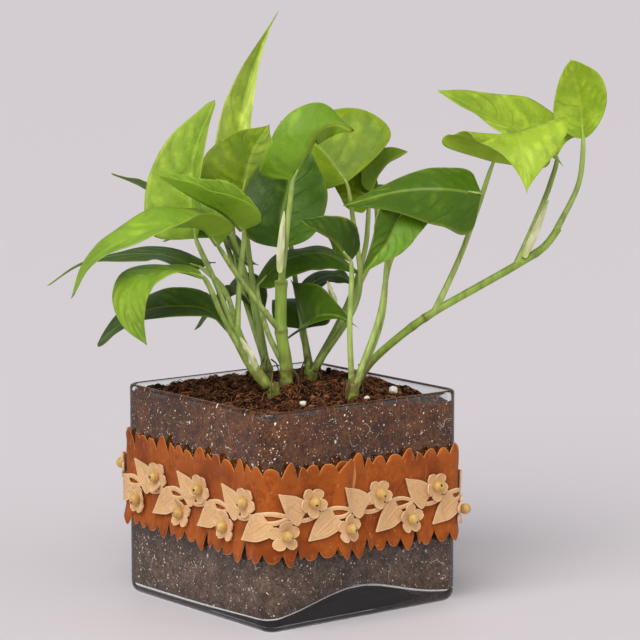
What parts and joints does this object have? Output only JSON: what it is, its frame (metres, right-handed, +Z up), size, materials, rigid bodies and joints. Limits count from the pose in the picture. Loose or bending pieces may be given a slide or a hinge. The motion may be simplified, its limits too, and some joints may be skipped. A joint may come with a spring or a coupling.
{
  "type": "potted pothos plant",
  "caption": "Leafy pothos with heart-shaped leaves in a square glass vase of potting mix, the vase wrapped in a scalloped suede band with a garland of flowers and wooden beads.",
  "frame": {"origin": "centre of the vase's flat base, on the surface it stands on", "axes": "+Z is up, and +X and +Y are parallel to the vase's walls; the picture shows the corner between the -X and -Y walls"},
  "size_m": [0.21, 0.1819, 0.2432],
  "materials": {
    "glass": "clear pressed glass, faintly green where it is thick",
    "soil": "crumbly coir potting mix with perlite",
    "band": "rust brown suede, napped",
    "lace": "tan suede, die cut",
    "bead": "plain turned wood",
    "perlite": "chalky",
    "foliage": "waxy leaves, green to dark green",
    "vine": "waxy leaves, lime green"
  },
  "bodies": {
    "root": {"glass_pot": "glass", "lace_garland": "lace", "perlite_1": "perlite", "perlite_2": "perlite", "perlite_3": "perlite", "shoot_back": "foliage", "shoot_back_left": "foliage", "shoot_centre": "foliage", "shoot_left": "foliage", "shoot_right": "foliage", "shoot_trailing": "vine", "soil": "soil", "suede_band": "band", "wooden_bead_1": "bead", "wooden_bead_10": "bead", "wooden_bead_11": "bead", "wooden_bead_12": "bead", "wooden_bead_13": "bead", "wooden_bead_14": "bead", "wooden_bead_15": "bead", "wooden_bead_16": "bead", "wooden_bead_17": "bead", "wooden_bead_18": "bead", "wooden_bead_19": "bead", "wooden_bead_2": "bead", "wooden_bead_20": "bead", "wooden_bead_21": "bead", "wooden_bead_22": "bead", "wooden_bead_23": "bead", "wooden_bead_24": "bead", "wooden_bead_25": "bead", "wooden_bead_26": "bead", "wooden_bead_3": "bead", "wooden_bead_4": "bead", "wooden_bead_5": "bead", "wooden_bead_6": "bead", "wooden_bead_7": "bead", "wooden_bead_8": "bead", "wooden_bead_9": "bead"}
  },
  "joints": []
}
